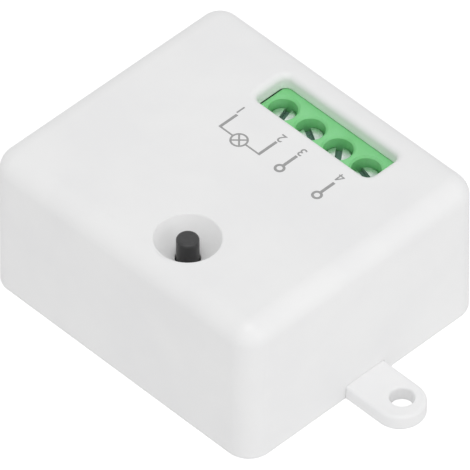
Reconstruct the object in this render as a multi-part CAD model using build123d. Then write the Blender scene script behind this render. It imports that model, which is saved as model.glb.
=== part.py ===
from build123d import *
import math
import os

# Relay module with a screw terminal block and a push button, in a white snap-together case.
# Millimetres. The origin is the middle of the underside of the case. +Z is up, the ears lie along X
# and the wires enter through the +Y wall. Rest pose: button out, clamps open, relay off.
# The case is worked out from what it holds: the longest row of parts on the board gives its length,
# the longest column its width, and the terminal block its height.

# Case
wall_draft = 0.5
corner_radius = 3.5
top_edge_radius = 3.1
side_wall = 2.0
top_wall = 2.2
inner_corner_radius = 1.5
overrun = 1.0
joint_gap = 0.1

# Base plate and its ears
floor_thickness = 1.6
board_lift_height = 1.7
rim_wall = 1.2
bead_radius = 0.6
bead_depth = 0.25
bead_length = 8.0
bead_height = 2.3
bead_share = 0.5
pillar_radius = 1.5
pillar_inset_width = 2.2
locating_pin_radius = 0.8
locating_pin_height = 0.6
ear_length = 6.35
ear_radius = 3.45
ear_thickness = 2.0
ear_root_length = 3.0
ear_hole_radius = 1.75
ear_edge_width = 0.3

# Ribs in the cover that hold the board down
rib_thickness = 1.0
rib_depth = 1.5
rib_relay_gap = 3.2

# Terminal block
pole_pitch = 5.08
pole_count = 4
terminal_end_wall = 0.19
terminal_depth = 10.0
terminal_edge_gap = 0.1
terminal_top_gap = 0.2
terminal_edge_width = 0.25
screw_inset_depth = 5.0
well_radius = 2.0
well_chamfer_width = 0.3
screw_recess_depth = 1.6
head_height = 2.0
head_radius = 1.88
head_chamfer_width = 0.25
slot_width = 0.9
slot_depth = 0.9
slot_angles = (107.0, 151.0, 129.0, 166.5)
shank_radius = 1.2
shank_gap = 0.15
thread_gap = 0.05
well_floor_thickness = 1.0
cell_width = 4.2
cell_gap = 0.1
cage_depth = 4.0
cage_wall = 0.6
cage_floor_thickness = 0.8
cage_bridge_thickness = 1.2
cage_lift_height = 1.7
cage_travel_height = 2.25
cage_top_gap = 0.25
wire_gap = 3.2
bar_thickness = 0.8
bar_width = 2.6
bar_gap = 0.7
bar_pin_depth = 0.8
bar_pin_width = 1.0
bar_pin_gap = 0.4
entry_width = 4.2
entry_height = 4.4
entry_throat_width = 3.0
entry_throat_height = 3.2
seam_width = 0.3
seam_depth = 0.2

# Windows over and in front of the terminal block
window_left_gap = 0.2
window_right_gap = 0.7
window_back_length = 3.9
window_front_length = 3.2
window_corner_radius = 1.6
window_edge_radius = 0.5
wire_window_bottom_gap = 0.4
wire_window_top_gap = 0.2
wire_window_corner_radius = 1.0

# Button, its dish and the tact switch below it
dish_radius = 4.4
dish_depth = 3.0
dish_wall = 1.2
dish_edge_width = 0.12
boss_radius = 4.6
stem_hole_radius = 1.9
stem_radius = 1.6
stem_recess_depth = 0.15
stem_edge_width = 0.3
flange_radius = 2.1
flange_height = 0.5
switch_width = 6.0
switch_base_height = 3.4
switch_plate_thickness = 0.3
switch_pocket_radius = 2.4
switch_pocket_depth = 1.2
dome_radius = 2.0
dome_height = 0.5
dome_edge_width = 0.3
dome_thickness = 0.12
dome_gap = 0.05
plate_hole_gap = 0.15
switch_lead_pitch = 4.5
switch_lead_width = 0.7
switch_lead_thickness = 0.3
switch_lead_height = 1.2

# Circuit board. Leads, their holes and their solder repeat many times, so they have few sides, and
# so do the round pieces that the case hides.
board_thickness = 1.6
board_edge_gap = 0.5
board_corner_radius = 1.0
lead_sides = 6
inner_sides = 12
lead_gap = 0.1
solder_radius = 0.95
solder_height = 0.8
solder_edge_width = 0.45

# Relay: the case stands on the board with the coil upright in it
relay_width = 15.5
relay_length = 19.0
relay_edge_gap = 0.7
relay_terminal_gap = 0.9
relay_top_gap = 0.3
relay_wall = 0.8
relay_corner_radius = 0.8
relay_edge_width = 0.4
relay_base_height = 1.6
relay_fit_gap = 0.05
yoke_thickness = 1.0
yoke_width = 9.0
yoke_wall_gap = 0.7
armature_gap = 0.5
armature_thickness = 0.9
armature_length = 8.6
armature_width = 8.0
pole_radius = 3.2
pole_height = 0.5
core_radius = 1.7
core_offset = 2.2
bobbin_width = 8.6
bobbin_flange_thickness = 0.8
bobbin_tube_radius = 2.4
winding_radius = 4.1
winding_edge_gap = 0.05
blade_thickness = 0.25
blade_width = 2.4
blade_length = 9.6
blade_overlap_length = 4.3
contact_radius = 1.0
contact_button_height = 0.4
contact_gap = 0.8
closed_contact_gap = 0.06
closed_blade_gap = 0.3
closed_arm_gap = 0.2
contact_end_length = 1.2
arm_thickness = 0.35
arm_depth = 3.2
arm_leg_thickness = 0.4
arm_leg_width = 1.0
arm_leg_inset_width = 1.0
arm_overlap_length = 1.1
coil_pin_width = 0.6
coil_pin_inset_width = 1.2

# Leaded parts on the board
lead_radius = 0.3
bulk_can_radius = 4.0
bulk_can_height = 12.0
small_can_radius = 3.15
small_can_height = 11.0
bulk_lead_pitch = 3.5
small_lead_pitch = 2.5
can_standoff_height = 0.2
drum_radius = 4.0
drum_height = 8.0
drum_flange_thickness = 1.2
drum_waist_radius = 1.8
drum_winding_radius = 3.5
drum_lead_pitch = 4.0
fuse_radius = 1.6
fuse_length = 7.5
fuse_lead_length = 1.6
varistor_radius = 3.6
varistor_thickness = 3.2
varistor_lead_pitch = 5.0
varistor_standoff_height = 0.8
crystal_length = 10.4
crystal_width = 3.8
crystal_height = 3.4
crystal_foot_height = 0.4
crystal_foot_width = 0.35
crystal_end_gap = 0.1
crystal_lead_pitch = 4.88
antenna_radius = 0.4
antenna_length = 17.5
antenna_height = 7.0

# Chips on the board
chip_standoff_height = 0.1
chip_lead_thickness = 0.2
chip_lead_width = 0.4
chip_lead_length = 1.0
chip_edge_width = 0.15
chip_width = 3.9
chip_height = 1.5
chip_pitch = 1.27
converter_length = 4.9
converter_pins = 4
controller_length = 9.9
controller_pins = 8
rectifier_length = 4.7
rectifier_height = 2.4
rectifier_pins = 2
rectifier_pitch = 2.54
regulator_length = 6.5
regulator_width = 3.5
regulator_height = 1.7
regulator_pins = 3
regulator_pitch = 2.3
driver_length = 2.9
driver_width = 1.6
driver_height = 1.0
driver_pins = 2
driver_pitch = 1.9
diode_length = 4.3
diode_width = 2.6
diode_height = 2.1
diode_edge_width = 0.3
chip_part_length = 1.6
chip_part_width = 0.8
chip_part_height = 0.5
chip_part_pitch = 1.4
chip_cap_share = 0.25

# Room between neighbours on the board, along X
relay_chip_gap = 0.75
relay_rectifier_gap = 1.15
rectifier_converter_gap = 2.2
controller_driver_gap = 0.5
driver_diode_gap = 1.1
resistor_bay_length = 3.6
regulator_can_gap = 1.45
can_edge_gap = 0.6
chip_column_gap = 1.9
fuse_edge_gap = 2.55
fuse_terminal_gap = 0.8
terminal_can_gap = 0.6
small_can_edge_gap = 1.35
antenna_side_gap = 4.3
antenna_receiver_gap = 1.45
receiver_crystal_gap = 0.7
crystal_switch_gap = 1.05
switch_bay_length = 2.4
drum_edge_gap = 2.5

# Room between neighbours on the board, along Y
front_bay_depth = 7.0
antenna_front_gap = 4.5
switch_edge_gap = 2.0
switch_driver_gap = 0.7
switch_diode_gap = 1.3
driver_regulator_gap = 0.45
regulator_chip_gap = 1.5
crystal_controller_gap = 2.6
chip_terminal_gap = 1.25
relay_fuse_gap = 0.9
fuse_varistor_gap = 1.6
drum_front_gap = 0.7
can_gap = 0.85
can_column_gap = 1.0
chip_row_offset = 1.2
resistor_column_offset = 1.7
chip_column_offset = 2.4
switch_column_offset = 1.0

# Outer sizes of the parts that share a row or a column
terminal_length = pole_count * pole_pitch + 2 * terminal_end_wall
chip_depth = chip_width + 2 * chip_lead_length
driver_depth = driver_width + 2 * chip_lead_length
regulator_depth = regulator_width + 2 * chip_lead_length
fuse_span_length = fuse_length + 2 * fuse_lead_length
crystal_span_length = crystal_length + 2 * crystal_foot_width
crystal_depth = crystal_width + 2 * crystal_foot_width
switch_span_length = switch_width + 2 * switch_lead_thickness

# The rows across the board, from the left edge to the right one; the longest is the board's length
relay_row_length = (
    relay_edge_gap
    + relay_width
    + relay_chip_gap
    + chip_depth
    + resistor_bay_length
    + regulator_length
    + regulator_can_gap
    + 2 * bulk_can_radius
    + can_edge_gap
)
terminal_row_length = (
    fuse_edge_gap
    + fuse_span_length
    + fuse_terminal_gap
    + terminal_length
    + terminal_can_gap
    + 2 * small_can_radius
    + small_can_edge_gap
)
front_row_length = (
    antenna_side_gap
    + antenna_receiver_gap
    + converter_length
    + receiver_crystal_gap
    + crystal_span_length
    + crystal_switch_gap
    + switch_span_length
    + switch_bay_length
    + 2 * drum_radius
    + drum_edge_gap
)
board_length = max(relay_row_length, terminal_row_length, front_row_length)

# The columns along the board, from the button's edge to the terminals; the longest is its width
terminal_column_width = chip_depth + chip_terminal_gap + terminal_depth + terminal_edge_gap
relay_column_width = (
    front_bay_depth + relay_length + relay_terminal_gap + terminal_depth + terminal_edge_gap
)
switch_column_width = (
    switch_edge_gap
    + switch_width
    + switch_driver_gap
    + driver_depth
    + driver_regulator_gap
    + regulator_depth
    + regulator_chip_gap
    + terminal_column_width
)
controller_column_width = (
    (front_bay_depth + crystal_depth) / 2
    + crystal_controller_gap
    + controller_length
    + regulator_chip_gap
    + terminal_column_width
)
can_column_width = (
    drum_front_gap
    + 2 * drum_radius
    + 4 * bulk_can_radius
    + 2 * small_can_radius
    + 3 * can_gap
    + can_column_gap
)
board_width = max(
    relay_column_width, switch_column_width, controller_column_width, can_column_width
)

# The case round the board
inner_length = board_length + 2 * board_edge_gap
inner_width = board_width + 2 * board_edge_gap
body_length = inner_length + 2 * side_wall
body_width = inner_width + 2 * side_wall
board_bottom = floor_thickness + board_lift_height
board_top = board_bottom + board_thickness

# Heights in the terminal block, from the board up, which give the case its height
cage_bottom = board_top + cage_lift_height
wire_bottom = cage_bottom + cage_floor_thickness
bar_bottom = wire_bottom + wire_gap
bar_top = bar_bottom + bar_thickness
bridge_bottom = bar_top + bar_gap
cage_top = bridge_bottom + cage_bridge_thickness
cell_top = cage_top + cage_travel_height + cage_top_gap
head_bottom = cell_top + well_floor_thickness
head_top = head_bottom + head_height
terminal_top = head_top + screw_recess_depth
ceiling = terminal_top + terminal_top_gap
body_height = ceiling + top_wall

# Terminal block in the plane of the board
terminal_right = board_length / 2 - small_can_edge_gap - 2 * small_can_radius - terminal_can_gap
terminal_left = terminal_right - terminal_length
terminal_x = (terminal_left + terminal_right) / 2
terminal_front = board_width / 2 - terminal_edge_gap
terminal_back = terminal_front - terminal_depth
screw_y = terminal_front - screw_inset_depth
cage_width = cell_width - 2 * cell_gap
cage_inner_width = cage_width - 2 * cage_wall
cell_front = screw_y + cage_depth / 2 + cell_gap
cell_back = screw_y - cage_depth / 2 - cell_gap
bar_pin_front = screw_y - cage_depth / 2 - bar_pin_gap
bar_pin_y = bar_pin_front - bar_pin_depth / 2
bar_back = bar_pin_front - bar_pin_depth

# Relay from its own sizes, in its own frame but for its place
relay_x = relay_edge_gap + relay_width / 2 - board_length / 2
relay_y = terminal_back - relay_terminal_gap - relay_length / 2
relay_top = ceiling - relay_top_gap - board_top
relay_inner_width = relay_width - 2 * relay_wall
relay_inner_length = relay_length - 2 * relay_wall
yoke_back = relay_inner_length / 2 - yoke_wall_gap
yoke_front = yoke_back - yoke_thickness
closed_arm_top = relay_top - relay_wall - closed_arm_gap
closed_button_bottom = closed_arm_top - arm_thickness - contact_button_height
moving_top = closed_button_bottom - closed_contact_gap
blade_bottom = moving_top - closed_blade_gap - blade_thickness
armature_bottom = blade_bottom - armature_thickness
pole_top = armature_bottom - armature_gap
coil_top = pole_top - pole_height
coil_bottom = relay_base_height + yoke_thickness
blade_root = yoke_front - armature_length + blade_overlap_length
blade_tip = blade_root - blade_length
contact_y = blade_tip + contact_end_length
moving_bottom = blade_bottom - contact_button_height
open_arm_top = moving_bottom - contact_gap - contact_button_height
arm_leg_y = arm_leg_inset_width - relay_inner_length / 2
arm_leg_x = relay_inner_width / 2 - arm_leg_inset_width
coil_pin_x = relay_inner_width / 2 - coil_pin_inset_width
coil_pin_y = relay_inner_length / 2 - coil_pin_inset_width
relay_right = relay_x + relay_width / 2
relay_back = relay_y + relay_length / 2
relay_front = relay_y - relay_length / 2

# Places along X, each from the neighbour it keeps clear of
can_x = board_length / 2 - can_edge_gap - bulk_can_radius
can_left = can_x - bulk_can_radius
small_can_x = terminal_right + terminal_can_gap + small_can_radius
drum_x = board_length / 2 - drum_edge_gap - drum_radius
drum_left = drum_x - drum_radius
button_x = drum_left - switch_bay_length - switch_span_length / 2
switch_right = button_x + switch_span_length / 2
switch_left = button_x - switch_span_length / 2
controller_x = relay_right + relay_chip_gap + chip_depth / 2
controller_right = controller_x + chip_depth / 2
driver_x = controller_right + controller_driver_gap + driver_length / 2
diode_x = driver_x + driver_length / 2 + driver_diode_gap + diode_length / 2
regulator_x = can_left - regulator_can_gap - regulator_length / 2
resistor_column_x = (controller_right + regulator_x - regulator_length / 2) / 2
rectifier_x = relay_right + relay_rectifier_gap + rectifier_length / 2
converter_x = rectifier_x + rectifier_length / 2 + rectifier_converter_gap + converter_length / 2
chip_column_x = can_left - chip_column_gap - chip_part_length / 2
fuse_x = terminal_left - fuse_terminal_gap - fuse_span_length / 2
antenna_x = antenna_side_gap - board_length / 2
receiver_x = antenna_x + antenna_receiver_gap + converter_length / 2
crystal_x = receiver_x + converter_length / 2 + receiver_crystal_gap + crystal_span_length / 2
crystal_right = crystal_x + crystal_span_length / 2

# Places along Y
button_y = switch_edge_gap + switch_width / 2 - board_width / 2
switch_back = button_y + switch_width / 2
front_bay_y = (front_bay_depth - board_width) / 2
antenna_y = antenna_front_gap - board_width / 2
chip_row_y = terminal_back - chip_terminal_gap - chip_depth / 2
controller_y = chip_row_y - chip_depth / 2 - regulator_chip_gap - controller_length / 2
driver_y = switch_back + switch_driver_gap + driver_depth / 2
diode_y = switch_back + switch_diode_gap + diode_width / 2
regulator_y = driver_y + driver_depth / 2 + driver_regulator_gap + regulator_depth / 2
chip_row_2_y = (front_bay_y + crystal_depth / 2 + controller_y - controller_length / 2) / 2
fuse_y = relay_back + relay_fuse_gap + fuse_radius
varistor_y = fuse_y + fuse_radius + fuse_varistor_gap + varistor_thickness / 2
drum_y = drum_front_gap + drum_radius - board_width / 2
can_2_y = drum_y + drum_radius + can_gap + bulk_can_radius
can_1_y = can_2_y + 2 * bulk_can_radius + can_gap
small_can_y = can_1_y + bulk_can_radius + can_gap + small_can_radius

# Where each part stands on the board, and its turn in degrees
quarter_turn = 90.0
places = {
    "input_capacitor_1": (can_x, can_1_y, quarter_turn),
    "input_capacitor_2": (can_x, can_2_y, quarter_turn),
    "output_capacitor": (small_can_x, small_can_y, quarter_turn),
    "inductor": (drum_x, drum_y, 0),
    "fuse_resistor": (fuse_x, fuse_y, 0),
    "varistor": (fuse_x, varistor_y, 0),
    "bridge_rectifier": (rectifier_x, chip_row_y, 0),
    "power_converter": (converter_x, chip_row_y, 0),
    "voltage_regulator": (regulator_x, regulator_y, 0),
    "microcontroller": (controller_x, controller_y, quarter_turn),
    "radio_receiver": (receiver_x, front_bay_y, 0),
    "crystal": (crystal_x, front_bay_y, 0),
    "antenna_wire": (antenna_x, antenna_y, 0),
    "relay_driver": (driver_x, driver_y, 0),
    "flyback_diode": (diode_x, diode_y, 0),
}


def column(x, top, count):
    """Places for small parts, one below the other."""
    return [(x, top - index * chip_part_pitch) for index in range(count)]


resistor_column = column(resistor_column_x, regulator_y + resistor_column_offset, 4)
chip_column = column(chip_column_x, chip_row_y + chip_column_offset, 4)
switch_column = column((switch_right + drum_left) / 2, button_y + switch_column_offset, 3)
chip_row_2 = [(controller_x + side * chip_row_offset, chip_row_2_y) for side in (-1, 1)]
resistor_places = resistor_column[:3] + chip_column[:2] + switch_column[:2]
capacitor_places = resistor_column[3:] + chip_column[2:] + switch_column[2:] + chip_row_2


def slab(length, width, height, x=0, y=0, z=0):
    """A box centred on x and y that stands on z."""
    return Pos(x, y, z) * Box(length, width, height, align=(Align.CENTER, Align.CENTER, Align.MIN))


def post(radius, height, x=0, y=0, z=0):
    """An upright cylinder that stands on z."""
    return Pos(x, y, z) * Cylinder(radius, height, align=(Align.CENTER, Align.CENTER, Align.MIN))


def pin(radius, height, x=0, y=0, z=0, sides=lead_sides):
    """An upright rod with flat sides that stands on z. The radius is to its corners."""
    return Pos(x, y, z) * extrude(RegularPolygon(radius, side_count=sides), height)


def bore(radius, height, x=0, y=0, z=0):
    """A hole with flat sides that clears a round bar. The radius is to its flats."""
    outline = RegularPolygon(radius, side_count=inner_sides, major_radius=False)
    return Pos(x, y, z) * extrude(outline, height)


def hidden_post(radius, height, x=0, y=0, z=0):
    """An upright round piece that the case hides, with its many flat sides, that stands on z."""
    return pin(radius, height, x, y, z, inner_sides)


def rounded_slab(length, width, height, radius, x=0, y=0, z=0, taper=0):
    """A slab with rounded upright corners, which a draft angle can draw in."""
    return Pos(x, y, z) * extrude(RectangleRounded(length, width, radius), height, taper=taper)


def group(*shapes):
    """Separate solids that share one node."""
    return Compound([solid for shape in shapes for solid in shape.solids()])


def top_edges(shape, x, y, reach_x, reach_y):
    """The edges of the top face that lie round a place."""
    return [
        edge
        for edge in shape.faces().sort_by(Axis.Z)[-1].edges()
        if abs(edge.center().X - x) < reach_x and abs(edge.center().Y - y) < reach_y
    ]


def spread(count, pitch):
    """Places along a row, centred on zero."""
    return [(index - (count - 1) / 2) * pitch for index in range(count)]


def place(name):
    """The spot on the board for a named part, with its turn."""
    x, y, turn = places[name]
    return Pos(x, y, board_top) * Rot(0, 0, turn)


def lead_places(name, pitch):
    """Where the two leads of a named part go through the board."""
    x, y, turn = places[name]
    angle = math.radians(turn)
    return [
        (x + reach * math.cos(angle), y + reach * math.sin(angle)) for reach in (-pitch / 2, pitch / 2)
    ]


pole_places = [terminal_x + offset for offset in spread(pole_count, pole_pitch)]


def cover_ribs():
    """Ribs that run down the inside of the cover to the board, between the parts."""
    rib_bottom = board_top + joint_gap
    rib_height = ceiling + overrun - rib_bottom
    length = rib_depth + side_wall / 2
    inset = rib_depth / 2 - side_wall / 4
    left = inset - inner_length / 2
    front = inset - inner_width / 2
    rib_offset = rib_relay_gap + rib_thickness / 2
    side_ribs = [
        (left, relay_back + rib_offset),
        (left, relay_front - rib_offset),
        (-left, (can_1_y + bulk_can_radius + small_can_y - small_can_radius) / 2),
        (-left, (can_2_y - bulk_can_radius + drum_y + drum_radius) / 2),
    ]
    end_ribs = [
        ((crystal_right + switch_left) / 2, front),
        ((switch_right + drum_left) / 2, front),
        (fuse_x, -front),
        (small_can_x, -front),
    ]
    ribs = [slab(length, rib_thickness, rib_height, x, y, rib_bottom) for x, y in side_ribs]
    ribs += [slab(rib_thickness, length, rib_height, x, y, rib_bottom) for x, y in end_ribs]
    return ribs


def bead_rods(radius, length):
    """Sharp-edged rods along the two long walls: the base's snap beads, and the grooves that take them."""
    bead_y = inner_width / 2 - joint_gap - bead_depth
    profile = Plane.YZ * Rectangle(radius, radius, rotation=quarter_turn / 2)
    rod = extrude(scale(profile, math.sqrt(2)), length / 2, both=True)
    return [
        Pos(side * bead_share * inner_length / 2, wall * bead_y, bead_height) * rod
        for side in (-1, 1)
        for wall in (-1, 1)
    ]


def window_box():
    """The opening over the terminals: its middle, length and width."""
    left = terminal_left - window_left_gap
    right = terminal_right + window_right_gap
    back = screw_y - window_back_length
    front = screw_y + window_front_length
    return (left + right) / 2, (back + front) / 2, right - left, front - back


def cover_shell():
    """The drafted shell with its rounded top, open at the bottom, and the ribs inside it."""
    shell = rounded_slab(body_length, body_width, body_height, corner_radius, taper=wall_draft)
    shell = fillet(shell.faces().sort_by(Axis.Z)[-1].edges(), top_edge_radius)
    shell -= rounded_slab(inner_length, inner_width, ceiling, inner_corner_radius)
    for rib in cover_ribs():
        shell += rib
    return shell


def top_cover():
    cover = cover_shell()

    bowl_radius = (dish_radius**2 + dish_depth**2) / (2 * dish_depth)
    bowl_z = body_height - dish_depth + bowl_radius
    boss_bottom = body_height - dish_depth - dish_wall
    cover += hidden_post(boss_radius, ceiling - boss_bottom, button_x, button_y, boss_bottom)
    cover -= Pos(button_x, button_y, bowl_z) * Sphere(bowl_radius)
    cover -= post(stem_hole_radius, body_height, button_x, button_y)

    window_x, window_y, window_length, window_width = window_box()
    cover -= rounded_slab(
        window_length,
        window_width,
        top_wall + terminal_top_gap + overrun,
        window_corner_radius,
        window_x,
        window_y,
        terminal_top,
    )
    reach_x = window_length / 2 + window_edge_radius
    reach_y = window_width / 2 + window_edge_radius
    cover = fillet(top_edges(cover, window_x, window_y, reach_x, reach_y), window_edge_radius)
    reach = dish_radius + dish_edge_width
    cover = chamfer(top_edges(cover, button_x, button_y, reach, reach), dish_edge_width)
    return cover - wire_window(window_x, window_length) - cover_notches()


def wire_window(window_x, window_length):
    """The slot in the +Y wall through which the wires reach the terminals."""
    bottom = bar_bottom - (entry_throat_height + entry_height) / 2 - wire_window_bottom_gap
    height = wire_window_bottom_gap + entry_height + wire_window_top_gap
    outline = RectangleRounded(window_length, height, wire_window_corner_radius)
    wall_plane = Plane(
        origin=(window_x, terminal_front, bottom + height / 2),
        x_dir=(-1, 0, 0),
        z_dir=(0, 1, 0),
    )
    return extrude(wall_plane * outline, body_width / 2 + overrun - terminal_front)


def cover_notches():
    """Cuts at the cover's lower edge: one for each ear, and a groove for each snap bead."""
    notches = [
        slab(
            2 * (side_wall + overrun),
            2 * (ear_radius + joint_gap),
            ear_thickness + joint_gap,
            side * body_length / 2,
        )
        for side in (-1, 1)
    ]
    return group(*notches, *bead_rods(bead_radius + joint_gap, bead_length + 2 * joint_gap))


def pillar_places():
    """The board's locating pins, near its corners."""
    reach_x = board_length / 2 - pillar_inset_width
    reach_y = board_width / 2 - pillar_inset_width
    return [(side * reach_x, wall * reach_y) for side in (-1, 1) for wall in (-1, 1)]


def base_plate():
    plate_length = inner_length - 2 * joint_gap
    plate_width = inner_width - 2 * joint_gap
    plate_radius = inner_corner_radius - joint_gap
    plate = rounded_slab(plate_length, plate_width, board_bottom, plate_radius)
    plate -= slab(plate_length - 2 * rim_wall, plate_width - 2 * rim_wall, board_bottom, z=floor_thickness)
    for rod in bead_rods(bead_radius, bead_length):
        plate += rod
    for x, y in pillar_places():
        plate += pin(pillar_radius, board_bottom, x, y)
        plate += pin(locating_pin_radius, board_top + locating_pin_height, x, y)
    for side in (-1, 1):
        plate += ear(side)
    return plate


def ear(side):
    """A mounting ear with a round end, rooted in the floor."""
    root = body_length / 2 - side_wall - ear_root_length
    hole = body_length / 2 + ear_length
    outline = Pos(hole, 0) * Circle(ear_radius)
    outline += Pos((root + hole) / 2, 0) * Rectangle(hole - root, 2 * ear_radius)
    tab = extrude(outline, ear_thickness)
    outer = [
        edge
        for edge in tab.faces().sort_by(Axis.Z)[-1].edges()
        if edge.center().X > root + ear_edge_width
    ]
    tab = chamfer(outer, ear_edge_width)
    tab -= post(ear_hole_radius, ear_thickness, hole)
    return tab if side > 0 else Rot(0, 0, 2 * quarter_turn) * tab


def terminal_housing():
    block = slab(
        terminal_length,
        terminal_depth,
        terminal_top - board_top,
        terminal_x,
        (terminal_front + terminal_back) / 2,
        board_top,
    )
    block = chamfer(block.faces().sort_by(Axis.Z)[-1].edges(), terminal_edge_width)
    for x in pole_places:
        block -= terminal_cell(x)
    well_rims = block.faces().sort_by(Axis.Z)[-1].edges().filter_by(GeomType.CIRCLE)
    block = chamfer(well_rims, well_chamfer_width)
    for x in pole_places[1:]:
        block -= slab(
            seam_width,
            2 * seam_depth,
            terminal_top - board_top,
            x - pole_pitch / 2,
            terminal_front,
            board_top,
        )
    return block


def terminal_cell(x):
    """All that is hollow round one pole: the well, the bore, the cage's room and the wire's way in."""
    well = post(well_radius, screw_recess_depth + head_height, x, screw_y, head_bottom)
    well += bore(shank_radius + shank_gap, well_floor_thickness, x, screw_y, cell_top)
    cell_depth = cell_front - cell_back
    cell = slab(cell_width, cell_depth, cell_top - board_top, x, (cell_front + cell_back) / 2, board_top)
    slot_back = bar_back - cell_gap
    bar_slot = slab(
        bar_width + 2 * cell_gap,
        cell_back - slot_back,
        bar_top + thread_gap - board_top,
        x,
        (cell_back + slot_back) / 2,
        board_top,
    )
    return well + cell + bar_slot + wire_entry(x)


def wire_entry(x):
    """The funnel that leads a wire from the front face into the cage."""
    side = (entry_width - entry_throat_width) / 2
    edge = (entry_height - entry_throat_height) / 2
    funnel = Wedge(
        entry_width,
        terminal_front - cell_front,
        entry_height,
        side,
        edge,
        entry_width - side,
        entry_height - edge,
    )
    middle = (terminal_front + cell_front) / 2
    return Pos(x, middle, bar_bottom - entry_throat_height / 2) * Rot(0, 0, 2 * quarter_turn) * funnel


def terminal_screw(pole):
    """A slotted screw whose head turns on the floor of its well."""
    tip = bar_top + thread_gap
    screw = post(head_radius, head_height, z=head_bottom)
    screw = chamfer(screw.faces().sort_by(Axis.Z)[-1].edges(), head_chamfer_width)
    screw -= slab(2 * head_radius, slot_width, slot_depth, z=head_top - slot_depth)
    screw += hidden_post(shank_radius, head_bottom - tip, z=tip)
    return Pos(pole_places[pole], screw_y, 0) * Rot(0, 0, slot_angles[pole]) * screw


def clamp_cage(pole):
    """The sleeve that the screw lifts: a wire lies between its floor and the contact bar."""
    sleeve = slab(cage_width, cage_depth, cage_top - cage_bottom, z=cage_bottom)
    sleeve -= slab(cage_inner_width, cage_depth, bridge_bottom - wire_bottom, z=wire_bottom)
    sleeve -= bore(shank_radius + thread_gap, cage_bridge_thickness, z=bridge_bottom)
    return Pos(pole_places[pole], screw_y, 0) * sleeve


def terminal_contacts():
    """Four bars that the cages pull the wires up against, each with a pin through the board."""
    bars = []
    bar_front = cell_front - cell_gap
    bar_length = bar_front - bar_back
    for x in pole_places:
        bar = slab(bar_width, bar_length, bar_thickness, x, (bar_front + bar_back) / 2, bar_bottom)
        bar += slab(bar_width, bar_pin_depth, bar_top - board_top, x, bar_pin_y, board_top)
        bar += slab(bar_pin_width, bar_pin_depth, board_thickness, x, bar_pin_y, board_bottom)
        bars.append(bar)
    return group(*bars)


def button_stem():
    """A stem with a flange that rests on the switch dome."""
    flange_bottom = board_top + switch_base_height - switch_pocket_depth + dome_height + dome_gap
    stem = post(stem_radius, body_height - stem_recess_depth - flange_bottom, z=flange_bottom)
    stem = chamfer(stem.faces().sort_by(Axis.Z)[-1].edges(), stem_edge_width)
    stem += post(flange_radius, flange_height, z=flange_bottom)
    return Pos(button_x, button_y, 0) * stem


def switch_base():
    base = slab(switch_width, switch_width, switch_base_height)
    base -= post(switch_pocket_radius, switch_pocket_depth, z=switch_base_height - switch_pocket_depth)
    return Pos(button_x, button_y, board_top) * base


def switch_plate():
    plate = slab(switch_width, switch_width, switch_plate_thickness)
    plate -= post(stem_radius + plate_hole_gap, switch_plate_thickness)
    return Pos(button_x, button_y, board_top + switch_base_height) * plate


def switch_dome():
    """The snap dome: a thin cap with a sloping edge, which the stem presses flat."""
    outer = hidden_post(dome_radius, dome_height)
    outer = chamfer(outer.faces().sort_by(Axis.Z)[-1].edges(), dome_edge_width)
    inner = hidden_post(dome_radius - dome_thickness, dome_height - dome_thickness)
    inner = chamfer(inner.faces().sort_by(Axis.Z)[-1].edges(), dome_edge_width)
    return Pos(button_x, button_y, board_top + switch_base_height - switch_pocket_depth) * (outer - inner)


def switch_lead_places():
    reach = (switch_width + switch_lead_thickness) / 2
    return [
        (button_x + side * reach, button_y + offset)
        for side in (-1, 1)
        for offset in spread(2, switch_lead_pitch)
    ]


def switch_leads():
    height = board_thickness + switch_lead_height
    return group(
        *[
            slab(switch_lead_thickness, switch_lead_width, height, x, y, board_bottom)
            for x, y in switch_lead_places()
        ]
    )


def on_relay(shape):
    return Pos(relay_x, relay_y, board_top) * shape


def relay_case():
    case = rounded_slab(relay_width, relay_length, relay_top, relay_corner_radius)
    case = chamfer(case.faces().sort_by(Axis.Z)[-1].edges(), relay_edge_width)
    case -= slab(relay_inner_width, relay_inner_length, relay_top - relay_wall)
    return on_relay(case)


def relay_pin_places():
    """Pins of the relay in its own frame: two coil pins, the common pin, and the contact legs."""
    coil = [(side * coil_pin_x, coil_pin_y) for side in (-1, 1)]
    common = [(0, (yoke_front + yoke_back) / 2)]
    legs = [(side * arm_leg_x, arm_leg_y) for side in (-1, 1)]
    return coil, common, legs


def relay_base():
    coil, common, legs = relay_pin_places()
    base = slab(
        relay_inner_width - 2 * relay_fit_gap,
        relay_inner_length - 2 * relay_fit_gap,
        relay_base_height,
    )
    for x, y in coil + common:
        base -= slab(coil_pin_width, coil_pin_width, relay_base_height, x, y)
    for x, y in legs:
        base -= slab(arm_leg_width, arm_leg_thickness, relay_base_height, x, y)
    return on_relay(base)


def relay_yoke():
    """The L-shaped iron: a foot under the coil and a leg up to the armature's hinge."""
    foot_front = core_offset - pole_radius
    foot_length = yoke_back - foot_front
    leg_height = armature_bottom - relay_fit_gap - relay_base_height
    yoke = slab(
        yoke_width, foot_length, yoke_thickness, 0, (yoke_back + foot_front) / 2, relay_base_height
    )
    yoke += slab(yoke_width, yoke_thickness, leg_height, 0, (yoke_back + yoke_front) / 2, relay_base_height)
    yoke -= hidden_post(core_radius, yoke_thickness, 0, core_offset, relay_base_height)
    return on_relay(yoke)


def relay_core():
    core = hidden_post(core_radius, pole_top - relay_base_height, 0, core_offset, relay_base_height)
    core += hidden_post(pole_radius, pole_height, 0, core_offset, coil_top)
    return on_relay(core)


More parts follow.
